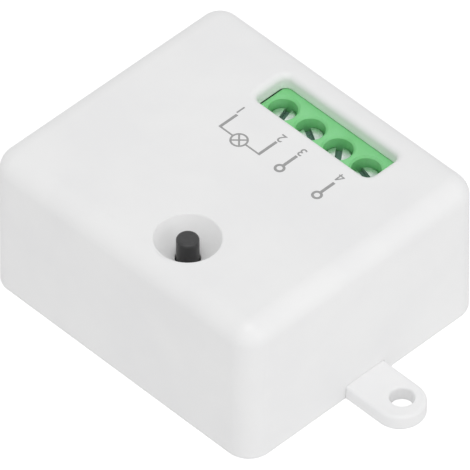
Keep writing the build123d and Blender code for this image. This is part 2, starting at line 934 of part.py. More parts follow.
def relay_bobbin():
    flange_z = coil_top - bobbin_flange_thickness
    bobbin = slab(bobbin_width, bobbin_width, bobbin_flange_thickness, 0, core_offset, coil_bottom)
    bobbin += slab(bobbin_width, bobbin_width, bobbin_flange_thickness, 0, core_offset, flange_z)
    bobbin += hidden_post(bobbin_tube_radius, coil_top - coil_bottom, 0, core_offset, coil_bottom)
    bobbin -= hidden_post(core_radius, coil_top - coil_bottom, 0, core_offset, coil_bottom)
    return on_relay(bobbin)


def relay_winding():
    bottom = coil_bottom + bobbin_flange_thickness + winding_edge_gap
    height = coil_top - coil_bottom - 2 * (bobbin_flange_thickness + winding_edge_gap)
    winding = hidden_post(winding_radius, height, 0, core_offset, bottom)
    winding -= hidden_post(bobbin_tube_radius, height, 0, core_offset, bottom)
    return on_relay(winding)


def relay_armature():
    front = yoke_front - armature_length
    length = yoke_back - front
    plate = slab(armature_width, length, armature_thickness, 0, (yoke_back + front) / 2, armature_bottom)
    return on_relay(plate)


def relay_moving_contact():
    """The spring blade on the armature, with its contact button."""
    blade = slab(blade_width, blade_length, blade_thickness, 0, (blade_tip + blade_root) / 2, blade_bottom)
    blade += hidden_post(contact_radius, moving_top - moving_bottom, 0, contact_y, moving_bottom)
    return on_relay(blade)


def contact_arm(side, arm_bottom, button_bottom):
    """A fixed contact: a leg up from the board and an arm that reaches under or over the blade."""
    arm_end = -side * arm_overlap_length
    arm_start = side * (arm_leg_x + arm_leg_width / 2)
    arm_y = arm_leg_y + (arm_depth - arm_leg_thickness) / 2
    leg_height = arm_bottom + arm_thickness + board_thickness
    arm = slab(
        abs(arm_start - arm_end), arm_depth, arm_thickness, (arm_start + arm_end) / 2, arm_y, arm_bottom
    )
    arm += slab(
        arm_leg_width, arm_leg_thickness, leg_height, side * arm_leg_x, arm_leg_y, -board_thickness
    )
    arm += hidden_post(contact_radius, contact_button_height, 0, contact_y, button_bottom)
    return on_relay(arm)


def relay_pins():
    coil, common, legs = relay_pin_places()
    height = board_thickness + relay_base_height
    pins = [slab(coil_pin_width, coil_pin_width, height, x, y, -board_thickness) for x, y in coil + common]
    return group(*[on_relay(each) for each in pins])


def lead_pair(pitch, top):
    """Two leads that hang from a height down through the board."""
    return [pin(lead_radius, top + board_thickness, x, 0, -board_thickness) for x in spread(2, pitch)]


def can_capacitor(name, radius, height, pitch):
    can = hidden_post(radius, height, z=can_standoff_height)
    return place(name) * group(can, *lead_pair(pitch, can_standoff_height))


def inductor_core():
    core = hidden_post(drum_radius, drum_flange_thickness)
    core += hidden_post(drum_waist_radius, drum_height)
    core += hidden_post(drum_radius, drum_flange_thickness, z=drum_height - drum_flange_thickness)
    return place("inductor") * group(core, *lead_pair(drum_lead_pitch, 0))


def inductor_winding():
    height = drum_height - 2 * drum_flange_thickness
    winding = hidden_post(drum_winding_radius, height, z=drum_flange_thickness)
    winding -= hidden_post(drum_waist_radius, height, z=drum_flange_thickness)
    return place("inductor") * winding


def bent_wire(radius, *corners):
    """A wire along straight runs, mitred at its corners. It starts upwards."""
    section = Plane(origin=corners[0], z_dir=(0, 0, 1)) * RegularPolygon(radius, side_count=lead_sides)
    return sweep(section, path=Polyline(*corners), transition=Transition.RIGHT)


def fuse_resistor():
    """A barrel that lies on the board, with a wire at each end."""
    height = fuse_radius + can_standoff_height
    barrel = hidden_post(fuse_radius, fuse_length, z=-fuse_length / 2)
    barrel = Pos(0, 0, height) * Rot(0, quarter_turn, 0) * barrel
    reach = fuse_span_length / 2
    wire = bent_wire(
        lead_radius,
        (-reach, 0, -board_thickness),
        (-reach, 0, height),
        (reach, 0, height),
        (reach, 0, -board_thickness),
    )
    return place("fuse_resistor") * group(barrel, wire - barrel)


def varistor():
    """A lacquered disc that stands on two leads."""
    centre = varistor_standoff_height + varistor_radius
    disc = hidden_post(varistor_radius, varistor_thickness, z=-varistor_thickness / 2)
    disc = Pos(0, 0, centre) * Rot(quarter_turn, 0, 0) * disc
    leads = [lead - disc for lead in lead_pair(varistor_lead_pitch, centre)]
    return place("varistor") * group(disc, *leads)


def crystal():
    """A pressed can on a thin flange."""
    can = rounded_slab(
        crystal_span_length, crystal_depth, crystal_foot_height, crystal_depth / 2 - crystal_end_gap
    )
    can += rounded_slab(
        crystal_length, crystal_width, crystal_height, crystal_width / 2 - crystal_end_gap
    )
    return place("crystal") * group(can, *lead_pair(crystal_lead_pitch, 0))


def antenna_wire():
    """A bare wire that rises from the board and runs above the chips."""
    wire = bent_wire(
        antenna_radius,
        (0, 0, -board_thickness),
        (0, 0, antenna_height),
        (antenna_length, 0, antenna_height),
    )
    return place("antenna_wire") * wire


def gull_lead(side, body_width, x):
    """One bent lead from the middle of a chip's side down to the board."""
    out = body_width / 2
    knee = out + chip_lead_length / 2
    toe = out + chip_lead_length
    high = chip_standoff_height + 2 * chip_lead_thickness
    outline = Polyline(
        (out, 0, high + chip_lead_thickness),
        (knee, 0, high + chip_lead_thickness),
        (knee, 0, chip_lead_thickness),
        (toe, 0, chip_lead_thickness),
        (toe, 0, 0),
        (knee - chip_lead_thickness, 0, 0),
        (knee - chip_lead_thickness, 0, high),
        (out, 0, high),
        close=True,
    )
    lead = extrude(make_face(outline), chip_lead_width / 2, both=True)
    return Pos(x, 0, 0) * Rot(0, 0, quarter_turn * side) * lead


def chip(name, length, width, height, pins, pitch):
    """A moulded chip with gull-wing leads along its two long sides."""
    body = slab(length, width, height - chip_standoff_height, z=chip_standoff_height)
    body = chamfer(body.faces().sort_by(Axis.Z)[-1].edges(), chip_edge_width)
    leads = [gull_lead(side, width, x) for side in (-1, 1) for x in spread(pins, pitch)]
    return place(name) * group(body, *leads)


def flyback_diode():
    body = slab(diode_length, diode_width, diode_height)
    body = chamfer(body.faces().sort_by(Axis.Z)[-1].edges(), diode_edge_width)
    return place("flyback_diode") * body


def chip_parts(spots):
    """Small two-ended parts, each a body between two metal caps."""
    cap_length = chip_part_length * chip_cap_share
    core_length = chip_part_length - 2 * cap_length
    parts = []
    for x, y in spots:
        parts.append(slab(core_length, chip_part_width, chip_part_height, x, y, board_top))
        for offset in spread(2, chip_part_length - cap_length):
            parts.append(slab(cap_length, chip_part_width, chip_part_height, x + offset, y, board_top))
    return group(*parts)


def round_leads():
    """Every round lead through the board: its place and radius."""
    pitches = {
        "input_capacitor_1": bulk_lead_pitch,
        "input_capacitor_2": bulk_lead_pitch,
        "output_capacitor": small_lead_pitch,
        "inductor": drum_lead_pitch,
        "fuse_resistor": fuse_span_length,
        "varistor": varistor_lead_pitch,
        "crystal": crystal_lead_pitch,
    }
    leads = [(x, y, lead_radius) for name, pitch in pitches.items() for x, y in lead_places(name, pitch)]
    return leads + [(antenna_x, antenna_y, antenna_radius)]


def flat_leads():
    """Every flat lead through the board: its place and its two widths."""
    coil, common, legs = relay_pin_places()
    leads = [(relay_x + x, relay_y + y, coil_pin_width, coil_pin_width) for x, y in coil + common]
    leads += [(relay_x + x, relay_y + y, arm_leg_width, arm_leg_thickness) for x, y in legs]
    leads += [(x, bar_pin_y, bar_pin_width, bar_pin_depth) for x in pole_places]
    leads += [(x, y, switch_lead_thickness, switch_lead_width) for x, y in switch_lead_places()]
    return leads


def circuit_board():
    """The board, with a hole for each lead and each locating pin."""
    board = rounded_slab(board_length, board_width, board_thickness, board_corner_radius, z=board_bottom)
    flat_to_corner = 1 / math.cos(math.pi / lead_sides)
    for x, y, radius in round_leads():
        board -= pin(radius + lead_gap, board_thickness, x, y, board_bottom)
    for x, y, width, depth in flat_leads():
        hole_radius = math.hypot(width, depth) / 2 + lead_gap
        board -= pin(hole_radius * flat_to_corner, board_thickness, x, y, board_bottom)
    for x, y in pillar_places():
        board -= pin(locating_pin_radius + lead_gap, board_thickness, x, y, board_bottom)
    return board


def solder_joints():
    """A cap of solder under the board at each lead, with sloping sides."""
    joint = pin(solder_radius, solder_height, z=board_bottom - solder_height)
    joint = chamfer(joint.faces().sort_by(Axis.Z)[0].edges(), solder_edge_width)
    spots = [(x, y) for x, y, radius in round_leads()]
    spots += [(x, y) for x, y, width, depth in flat_leads()]
    return group(*[Pos(x, y, 0) * joint for x, y in spots])


nodes = {
    "top_cover": top_cover(),
    "base_plate": base_plate(),
    "terminal_housing": terminal_housing(),
    "terminal_contacts": terminal_contacts(),
    "button_stem": button_stem(),
    "switch_base": switch_base(),
    "switch_plate": switch_plate(),
    "switch_dome": switch_dome(),
    "switch_leads": switch_leads(),
    "circuit_board": circuit_board(),
    "solder_joints": solder_joints(),
    "relay_case": relay_case(),
    "relay_base": relay_base(),
    "relay_yoke": relay_yoke(),
    "relay_core": relay_core(),
    "relay_bobbin": relay_bobbin(),
    "relay_winding": relay_winding(),
    "relay_armature": relay_armature(),
    "relay_moving_contact": relay_moving_contact(),
    "relay_open_contact": contact_arm(-1, open_arm_top - arm_thickness, open_arm_top),
    "relay_closed_contact": contact_arm(1, closed_arm_top - arm_thickness, closed_button_bottom),
    "relay_pins": relay_pins(),
    "output_capacitor": can_capacitor(
        "output_capacitor", small_can_radius, small_can_height, small_lead_pitch
    ),
    "inductor_core": inductor_core(),
    "inductor_winding": inductor_winding(),
    "fuse_resistor": fuse_resistor(),
    "varistor": varistor(),
    "crystal": crystal(),
    "antenna_wire": antenna_wire(),
    "bridge_rectifier": chip(
        "bridge_rectifier", rectifier_length, chip_width, rectifier_height, rectifier_pins, rectifier_pitch
    ),
    "voltage_regulator": chip(
        "voltage_regulator",
        regulator_length,
        regulator_width,
        regulator_height,
        regulator_pins,
        regulator_pitch,
    ),
    "microcontroller": chip(
        "microcontroller", controller_length, chip_width, chip_height, controller_pins, chip_pitch
    ),
    "relay_driver": chip(
        "relay_driver", driver_length, driver_width, driver_height, driver_pins, driver_pitch
    ),
    "flyback_diode": flyback_diode(),
    "chip_resistors": chip_parts(resistor_places),
    "chip_capacitors": chip_parts(capacitor_places),
}
for name in ("input_capacitor_1", "input_capacitor_2"):
    nodes[name] = can_capacitor(name, bulk_can_radius, bulk_can_height, bulk_lead_pitch)
for name in ("power_converter", "radio_receiver"):
    nodes[name] = chip(name, converter_length, chip_width, chip_height, converter_pins, chip_pitch)
for pole in range(pole_count):
    nodes[f"terminal_screw_{pole + 1}"] = terminal_screw(pole)
    nodes[f"clamp_cage_{pole + 1}"] = clamp_cage(pole)

os.makedirs("parts", exist_ok=True)
for name, shape in nodes.items():
    export_step(shape, f"parts/{name}.step")
print(len(nodes), "nodes,", round(body_length, 2), "x", round(body_width, 2), "x", round(body_height, 2))
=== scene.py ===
import math

import bmesh
import bpy
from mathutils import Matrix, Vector


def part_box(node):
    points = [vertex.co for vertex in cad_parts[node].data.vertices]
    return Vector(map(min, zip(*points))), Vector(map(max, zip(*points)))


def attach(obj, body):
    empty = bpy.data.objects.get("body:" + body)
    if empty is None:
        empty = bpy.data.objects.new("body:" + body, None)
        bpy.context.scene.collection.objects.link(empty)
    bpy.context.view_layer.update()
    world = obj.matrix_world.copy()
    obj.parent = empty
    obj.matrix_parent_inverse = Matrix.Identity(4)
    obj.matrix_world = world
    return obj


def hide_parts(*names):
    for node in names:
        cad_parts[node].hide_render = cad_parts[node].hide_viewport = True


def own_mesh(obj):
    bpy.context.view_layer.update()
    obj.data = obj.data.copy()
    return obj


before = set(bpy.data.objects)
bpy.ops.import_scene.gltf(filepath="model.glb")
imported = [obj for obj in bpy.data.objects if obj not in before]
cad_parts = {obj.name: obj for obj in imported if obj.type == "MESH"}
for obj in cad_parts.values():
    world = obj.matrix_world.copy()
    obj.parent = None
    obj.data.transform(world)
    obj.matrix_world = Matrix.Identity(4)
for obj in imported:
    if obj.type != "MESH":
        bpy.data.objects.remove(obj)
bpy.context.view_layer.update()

# The frame and the materials are in metres. Shapes that this script adds are drawn in millimetres.
MM = 0.001
MICRON = 0.001 * MM


def in_mm(box):
    """A box's lowest and highest corners in millimetres."""
    return [[value / MM for value in corner] for corner in box]


def middle(low, high):
    """The middle of a box, seen from above."""
    return (low[0] + high[0]) / 2, (low[1] + high[1]) / 2


CASE_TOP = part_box("top_cover")[1][2]
BOARD_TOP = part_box("circuit_board")[1][2]
TOP = CASE_TOP / MM
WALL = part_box("top_cover")[1][0] / MM


# Materials
def linear(colour):
    """Linear RGBA from an sRGB colour of 0 to 255."""
    out = []
    for value in colour:
        v = value / 255
        out.append(v / 12.92 if v <= 0.04045 else ((v + 0.055) / 1.055) ** 2.4)
    return (*out, 1.0)


class Paint:
    """A Principled material with helpers for the nodes that drive it. Lengths are in metres."""

    def __init__(self, name, metallic=0.0, ior=1.5, coat=0.0):
        self.material = bpy.data.materials.new(name)
        self.material.use_nodes = True
        self.tree = self.material.node_tree
        self.shader = self.tree.nodes["Principled BSDF"]
        self.shader.inputs["Metallic"].default_value = metallic
        self.shader.inputs["IOR"].default_value = ior
        self.shader.inputs["Coat Weight"].default_value = coat
        self.where = self.add("ShaderNodeTexCoord").outputs["Object"]
        split = self.add("ShaderNodeSeparateXYZ")
        self.link(self.where, split.inputs[0])
        self.x, self.y, self.z = split.outputs

    def add(self, kind, **settings):
        node = self.tree.nodes.new(kind)
        for key, value in settings.items():
            setattr(node, key, value)
        return node

    def link(self, source, target):
        self.tree.links.new(source, target)

    def feed(self, target, value):
        """Links a socket to the target, or sets the target to a constant."""
        if isinstance(value, bpy.types.NodeSocket):
            self.link(value, target)
        else:
            target.default_value = value

    def math(self, operation, *values):
        node = self.add("ShaderNodeMath", operation=operation)
        for socket, value in zip(node.inputs, values):
            self.feed(socket, value)
        return node.outputs[0]

    def noise(self, size, detail=3.0, stretch=(1, 1, 1)):
        """Noise from 0 to 1 whose features are about size across."""
        place = self.add("ShaderNodeMapping")
        place.inputs["Scale"].default_value = stretch
        self.link(self.where, place.inputs["Vector"])
        node = self.add("ShaderNodeTexNoise")
        node.inputs["Scale"].default_value = 1 / size
        node.inputs["Detail"].default_value = detail
        self.link(place.outputs[0], node.inputs["Vector"])
        return node.outputs["Fac"]

    def cell_edges(self, size):
        """The distance from the edges of cells about size across."""
        node = self.add("ShaderNodeTexVoronoi", feature="DISTANCE_TO_EDGE")
        node.inputs["Scale"].default_value = 1 / size
        self.link(self.where, node.inputs["Vector"])
        return node.outputs["Distance"]

    def span(self, value, low, high, to_low=0.0, to_high=1.0):
        """value taken from low..high to to_low..to_high, and held at the ends."""
        node = self.add("ShaderNodeMapRange")
        for socket, number in zip(node.inputs, (value, low, high, to_low, to_high)):
            self.feed(socket, number)
        return node.outputs[0]

    def both(self, first, second):
        """1 where both masks are 1."""
        return self.math("MULTIPLY", first, second)

    def between(self, value, low, high):
        """1 where value lies between low and high, else 0."""
        return self.both(self.math("GREATER_THAN", value, low), self.math("LESS_THAN", value, high))

    def from_axis(self, centre):
        """How far each point lies from an upright line through centre."""
        across = self.math("SUBTRACT", self.x, centre[0])
        along = self.math("SUBTRACT", self.y, centre[1])
        squares = self.math("MULTIPLY", across, across), self.math("MULTIPLY", along, along)
        return self.math("SQRT", self.math("ADD", *squares))

    def wave(self, value, length):
        """A sine of value that repeats each length."""
        return self.math("SINE", self.math("MULTIPLY", value, 2 * math.pi / length))

    def mix(self, share, first, second):
        node = self.add("ShaderNodeMix", data_type="RGBA")
        self.feed(node.inputs["Factor"], share)
        self.feed(node.inputs[6], first)
        self.feed(node.inputs[7], second)
        return node.outputs[2]

    def mottle(self, first, second, size, detail=3.0, stretch=(1, 1, 1)):
        """Two sRGB colours mixed by noise."""
        share = self.span(self.noise(size, detail, stretch), 0.35, 0.65)
        return self.mix(share, linear(first), linear(second))

    def colour(self, value):
        self.feed(self.shader.inputs["Base Color"], value)

    def metal_where(self, share):
        self.feed(self.shader.inputs["Metallic"], share)

    def roughness(self, low, high, size, stretch=(1, 1, 1)):
        """Roughness from low to high in patches about size across."""
        patches = self.noise(size, stretch=stretch)
        self.feed(self.shader.inputs["Roughness"], self.span(patches, 0.3, 0.7, low, high))

    def bump(self, *layers, soften=0.0):
        """Each layer is a height from 0 to 1 and how high 1 stands. Edges look rounded by soften."""
        normal = None
        if soften:
            rounding = self.add("ShaderNodeBevel", samples=6)
            rounding.inputs["Radius"].default_value = soften
            normal = rounding.outputs["Normal"]
        for height, depth in layers:
            node = self.add("ShaderNodeBump")
            node.inputs["Distance"].default_value = depth
            self.link(height, node.inputs["Height"])
            if normal is not None:
                self.link(normal, node.inputs["Normal"])
            normal = node.outputs["Normal"]
        self.link(normal, self.shader.inputs["Normal"])


def dress(node, paint):
    """The CAD node takes this material in all its slots."""
    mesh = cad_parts[node].data
    if not mesh.materials:
        mesh.materials.append(paint.material)
    for slot in range(len(mesh.materials)):
        mesh.materials[slot] = paint.material


def plastic(name, first, second, low, high, grain, depth, size=4 * MM):
    """Moulded plastic: a faint drift of colour, satin patches and a fine moulded grain."""
    paint = Paint(name)
    paint.colour(paint.mottle(first, second, size))
    paint.roughness(low, high, size / 3)
    paint.bump((paint.noise(grain, 2.0), depth), (paint.noise(grain * 12, 2.0), depth * 2))
    return paint


def metal(name, first, second, low, high, size=0.6 * MM, depth=1.5 * MICRON, stretch=(1, 1, 1)):
    """Plated or bare metal with drawn or tumbled marks."""
    paint = Paint(name, metallic=1.0)
    paint.colour(paint.mottle(first, second, size, stretch=stretch))
    paint.roughness(low, high, size, stretch)
    paint.bump((paint.noise(size / 3, 4.0, stretch), depth))
    return paint


# Solids in millimetres, and the objects that they shape
def loft(rings):
    """A closed solid through rings of points, with flat ends."""
    mesh = bmesh.new()
    rows = [[mesh.verts.new(Vector(point) * MM) for point in ring] for ring in rings]
    mesh.faces.new(rows[0][::-1])
    mesh.faces.new(rows[-1])
    for low, high in zip(rows, rows[1:]):
        for i in range(len(low)):
            j = (i + 1) % len(low)
            mesh.faces.new((low[i], low[j], high[j], high[i]))
    bmesh.ops.recalc_face_normals(mesh, faces=mesh.faces)
    return mesh


def rounded(left, back, right, front, radius, z, steps=12):
    """A ring of points round a rectangle with round corners."""
    points = []
    corners = (
        (right - radius, front - radius, 0),
        (left + radius, front - radius, 90),
        (left + radius, back + radius, 180),
        (right - radius, back + radius, 270),
    )
    for x, y, start in corners:
        for step in range(steps + 1):
            angle = math.radians(start + 90 * step / steps)
            points.append((x + radius * math.cos(angle), y + radius * math.sin(angle), z))
    return points


def circle(centre, radius, z, steps=96):
    """A ring of points round a circle."""
    points = []
    for i in range(steps):
        angle = 2 * math.pi * i / steps
        points.append((centre[0] + radius * math.cos(angle), centre[1] + radius * math.sin(angle), z))
    return points


def quarter(radius, steps=10):
    """How far in and how high a quarter round goes, from its foot to its top."""
    for step in range(steps + 1):
        angle = math.pi / 2 * step / steps
        yield radius * (1 - math.cos(angle)), radius * math.sin(angle)


def cuboid(left, back, low, right, front, high):
    corners = (left, back), (right, back), (right, front), (left, front)
    return loft([[(x, y, z) for x, y in corners] for z in (low, high)])


def as_object(name, mesh):
    data = bpy.data.meshes.new(name)
    mesh.to_mesh(data)
    mesh.free()
    made = bpy.data.objects.new(name, data)
    bpy.context.scene.collection.objects.link(made)
    return made


def final_mesh(made):
    """The object's mesh as its modifiers leave it."""
    return bpy.data.meshes.new_from_object(made.evaluated_get(bpy.context.evaluated_depsgraph_get()))


def node_copy(name, node):
    """A welded copy of a CAD node, to shape further."""
    mesh = bmesh.new()
    mesh.from_mesh(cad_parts[node].data)
    bmesh.ops.remove_doubles(mesh, verts=mesh.verts, dist=0.1 * MICRON)
    made = as_object(name, mesh)
    if "custom_normal" in made.data.attributes:
        made.data.attributes.remove(made.data.attributes["custom_normal"])
    return made


def shape(made, operation, mesh):
    """Joins a solid to the object, or cuts it out."""
    tool = as_object("shaping_tool", mesh)
    modifier = made.modifiers.new("shape", "BOOLEAN")
    modifier.operation = operation
    modifier.object = tool
    modifier.solver = "EXACT"
    bpy.context.view_layer.update()
    result = final_mesh(made)
    made.modifiers.clear()
    made.data = result
    bpy.data.objects.remove(tool)


def finish_shading(made, paint, sharp_angle=28):
    """Smooth but for its sharp edges, with flat faces kept flat."""
    for face in made.data.polygons:
        face.use_smooth = True
    made.data.set_sharp_from_angle(angle=math.radians(sharp_angle))
    modifier = made.modifiers.new("even_normals", "WEIGHTED_NORMAL")
    modifier.keep_sharp = True
    made.data.materials.clear()
    made.data.materials.append(paint.material)


# How far past a face a cutting solid reaches
OVERRUN = 0.5

# The cover's window, from the sides of the terminal block below it
WINDOW_LEFT_LAP, WINDOW_RIGHT_GAP, WINDOW_BACK_LAP, WINDOW_FRONT_LAP = 0.12, 0.35, 2.25, 1.9
WINDOW_CORNER = 1.2
WINDOW_FLARE = 1.0
BLOCK_GAP = 0.1
# A plug fills the solid's own window before this one is cut
PLUG_LAP, PLUG_BACK_LAP, PLUG_CORNER = 1.0, 1.7, 0.5

# The dish round the button, from its rim down to the hole for the stem
BUTTON = middle(*in_mm(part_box("button_stem")))
DISH_RADIUS, DISH_DEPTH, DISH_SAG, DISH_ROUND = 4.4, 3.65, 0.35, 0.1
DISH_STEPS = 16
DISH_ROUND_STEPS = 4
STEM_HOLE = 1.67
BOSS_DEPTH = 4.18

# The button's stem
STEM_RADIUS, STEM_DRAFT, STEM_ROUND, STEM_SINK = 1.58, 0.07, 0.36, 0.02
STEM_ROUND_STEPS = 8
FLANGE_RADIUS, FLANGE_HEIGHT = 2.1, 0.5

# The mounting ears
EAR_RADIUS, EAR_HEIGHT, EAR_ROUND = 3.5, 2.1, 0.5
EAR_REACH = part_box("base_plate")[1][0] / MM - EAR_RADIUS
EAR_BITE = 1.2
EAR_STEPS = 48
EAR_HOLE, EAR_HOLE_SHIFT, EAR_HOLE_FLARE = 1.62, 0.4, 0.3
EAR_HOLE_STEPS = 5
# The solid's cover has a notch for each ear, which a slab in its side wall fills
NOTCH_COVER = 0.3
SIDE_WALL = 2.0
SLAB_SINK = 0.03
BASE_GAP = 0.06
BASE_CUT = 10.0


def window_outline(grow, corner, z, back_grow=None):
    """A rounded outline that stands out from the window's by grow."""
    low, high = in_mm(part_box("terminal_housing"))
    left = low[0] + WINDOW_LEFT_LAP
    right = high[0] + WINDOW_RIGHT_GAP
    back = low[1] + WINDOW_BACK_LAP
    front = high[1] - WINDOW_FRONT_LAP
    back_out = grow if back_grow is None else back_grow
    return rounded(left - grow, back - back_out, right + grow, front + grow, corner, z)


def cut_window(cover):
    """Closes the solid's window and cuts one with a soft edge that fits closer round the block."""
    plug_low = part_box("terminal_housing")[1][2] / MM + BLOCK_GAP
    plug = [window_outline(PLUG_LAP, PLUG_CORNER, z, PLUG_BACK_LAP) for z in (plug_low, TOP)]
    shape(cover, "UNION", loft(plug))
    rings = [window_outline(0, WINDOW_CORNER, plug_low - OVERRUN)]
    for out, up in quarter(WINDOW_FLARE):
        rings.append(window_outline(out, WINDOW_CORNER + out, TOP - WINDOW_FLARE + up))
    rings.append(window_outline(WINDOW_FLARE, WINDOW_CORNER + WINDOW_FLARE, TOP + OVERRUN))
    shape(cover, "DIFFERENCE", loft(rings))


def dish_profile():
    """The dish's radius and height from the stem's hole up: a slope that sags, and a round rim."""
    run = DISH_RADIUS - STEM_HOLE
    length = math.hypot(run, DISH_DEPTH)
    for step in range(DISH_STEPS + 1):
        share = step / DISH_STEPS
        sag = 4 * DISH_SAG * share * (1 - share)
        drop = DISH_DEPTH * (1 - share) + sag * run / length + DISH_ROUND * share
        yield STEM_HOLE + run * share + sag * DISH_DEPTH / length, TOP - drop
    for out, up in list(quarter(DISH_ROUND, DISH_ROUND_STEPS))[1:]:
        yield DISH_RADIUS + out, TOP - DISH_ROUND + up


def cut_dish(cover):
    """Fills the solid's dish and cuts a deeper one, with a closer hole for the stem."""
    plug_radius = DISH_RADIUS + 3 * DISH_ROUND
    shape(cover, "UNION", loft([circle(BUTTON, plug_radius, z) for z in (TOP - BOSS_DEPTH, TOP)]))
    rings = [circle(BUTTON, STEM_HOLE, TOP - BOSS_DEPTH - OVERRUN)]
    rings += [circle(BUTTON, radius, z) for radius, z in dish_profile()]
    rings.append(circle(BUTTON, DISH_RADIUS + DISH_ROUND, TOP + OVERRUN))
    shape(cover, "DIFFERENCE", loft(rings))


def ear_outline(side, inset, z):
    """The ear's outline, drawn in by inset: straight from the wall, and round at its end."""
    root = WALL - EAR_BITE
    reach = EAR_RADIUS - inset
    points = [(side * root, -side * reach, z)]
    for step in range(EAR_STEPS + 1):
        angle = math.pi * (step / EAR_STEPS - 0.5)
        points.append((side * (EAR_REACH + reach * math.cos(angle)), side * reach * math.sin(angle), z))
    points.append((side * root, side * reach, z))
    return points


def add_ear(cover, side):
    """Closes the notch in the side wall and adds an ear with a round edge and a flared hole."""
    left, right = sorted((side * (WALL - SIDE_WALL), side * (WALL - SLAB_SINK)))
    reach = EAR_RADIUS + NOTCH_COVER
    shape(cover, "UNION", cuboid(left, -reach, 0, right, reach, EAR_HEIGHT + NOTCH_COVER))
    rings = [ear_outline(side, 0, 0)]
    for inset, up in quarter(EAR_ROUND):
        rings.append(ear_outline(side, inset, EAR_HEIGHT - EAR_ROUND + up))
    shape(cover, "UNION", loft(rings))
    centre = side * EAR_REACH, EAR_HOLE_SHIFT
    hole = [circle(centre, EAR_HOLE, -OVERRUN)]
    for out, up in quarter(EAR_HOLE_FLARE, EAR_HOLE_STEPS):
        hole.append(circle(centre, EAR_HOLE + out, EAR_HEIGHT - EAR_HOLE_FLARE + up))
    hole.append(circle(centre, EAR_HOLE + EAR_HOLE_FLARE, EAR_HEIGHT + OVERRUN))
    shape(cover, "DIFFERENCE", loft(hole))


def dressed_cover():
    """The cover, with its window, dish and ears as the photograph has them."""
    cover = node_copy("cover_shell", "top_cover")
    cut_window(cover)
    cut_dish(cover)
    for side in (-1, 1):
        add_ear(cover, side)
    return cover


def dressed_base():
    """The base plate without its ears, which are the cover's."""
    base = node_copy("base_shell", "base_plate")
    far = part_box("base_plate")[1][0] / MM + OVERRUN
    for side in (-1, 1):
        left, right = sorted((side * (WALL - SIDE_WALL - BASE_GAP), side * far))
        shape(base, "DIFFERENCE", cuboid(left, -BASE_CUT, -OVERRUN, right, BASE_CUT, BASE_CUT))
    return base


def dressed_stem():
    """The stem as a turned form: its flange, a slight taper and a soft round top."""
    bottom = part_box("button_stem")[0][2] / MM
    flange_top = bottom + FLANGE_HEIGHT
    round_low = TOP - STEM_SINK - STEM_ROUND
    rings = [circle(BUTTON, FLANGE_RADIUS, z) for z in (bottom, flange_top)]
    rings.append(circle(BUTTON, STEM_RADIUS, flange_top))
    for inset, up in quarter(STEM_ROUND, STEM_ROUND_STEPS):
        rings.append(circle(BUTTON, STEM_RADIUS - STEM_DRAFT - inset, round_low + up))
    return as_object("round_stem", loft(rings))


# The case: white satin plastic with a very fine grain. The button's dish is painted a little lighter, as
# painted light against the shade in it, and has faint turning marks.
TURNING_PITCH = 0.35 * MM
case_paint = Paint("white_case_plastic", ior=1.46)
from_button = case_paint.from_axis(middle(*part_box("button_stem")))
in_dish = case_paint.both(
    case_paint.between(from_button, 0, (DISH_RADIUS + DISH_ROUND) * MM),
    case_paint.between(case_paint.z, (TOP - BOSS_DEPTH) * MM, (TOP - DISH_ROUND / 5) * MM),
)
turning = case_paint.both(case_paint.span(case_paint.wave(from_button, TURNING_PITCH), -1, 1), in_dish)
case_white = case_paint.mottle((246, 246, 246), (243, 243, 243.5), 9 * MM)
# Painted light: the dish's plastic is made lighter than the case's to lift the shade in the dish
dish_painted_lighter = case_paint.mottle((254, 254, 254), (253, 253, 253), 2 * MM)
case_paint.colour(case_paint.mix(in_dish, case_white, dish_painted_lighter))
case_paint.roughness(0.34, 0.42, 3 * MM)
case_paint.bump(
    (case_paint.noise(0.11 * MM, 2.0), 0.9 * MICRON),
    (case_paint.noise(1.6 * MM, 2.0), 1.4 * MICRON),
    (turning, 2.5 * MICRON),
    soften=0.3 * MM,
)
dress("top_cover", case_paint)
base_paint = plastic(
    "white_base_plastic", (238, 238, 238), (234, 234, 235), 0.38, 0.48, 0.12 * MM, 1.1 * MICRON
)
dress("base_plate", base_paint)
for made, paint, node in (
    (dressed_cover(), case_paint, "top_cover"),
    (dressed_base(), base_paint, "base_plate"),
):
    finish_shading(made, paint)
    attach(made, "housing")
    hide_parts(node)

# Terminal block: green plastic with a soft sheen, with painted shade low in the wells
WELL_SHADE_DEPTH, WELL_UNSHADED_DEPTH = 3.6 * MM, 0.4 * MM
terminal_paint = Paint("green_terminal_plastic")
terminal_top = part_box("terminal_housing")[1][2]
# Painted shade: the green darkens towards the bottom of the wells
height_share = terminal_paint.span(terminal_paint.z, terminal_top - WELL_SHADE_DEPTH, terminal_top - WELL_UNSHADED_DEPTH)
unshaded_green = terminal_paint.mottle((134, 217, 143), (141, 221, 152), 2.2 * MM)
terminal_paint.colour(terminal_paint.mix(height_share, linear((104, 186, 120)), unshaded_green))
terminal_paint.roughness(0.3, 0.4, 1.2 * MM)
terminal_paint.bump(
    (terminal_paint.noise(0.12 * MM, 2.0), 0.8 * MICRON),
    (terminal_paint.noise(1.1 * MM, 2.0), 2 * MICRON),
)
terminal_paint.shader.inputs["Subsurface Weight"].default_value = 0.12
terminal_paint.shader.inputs["Subsurface Radius"].default_value = (0.4 * MM, 0.9 * MM, 0.4 * MM)
terminal_paint.shader.inputs["Subsurface Scale"].default_value = 1.0
dress("terminal_housing", terminal_paint)
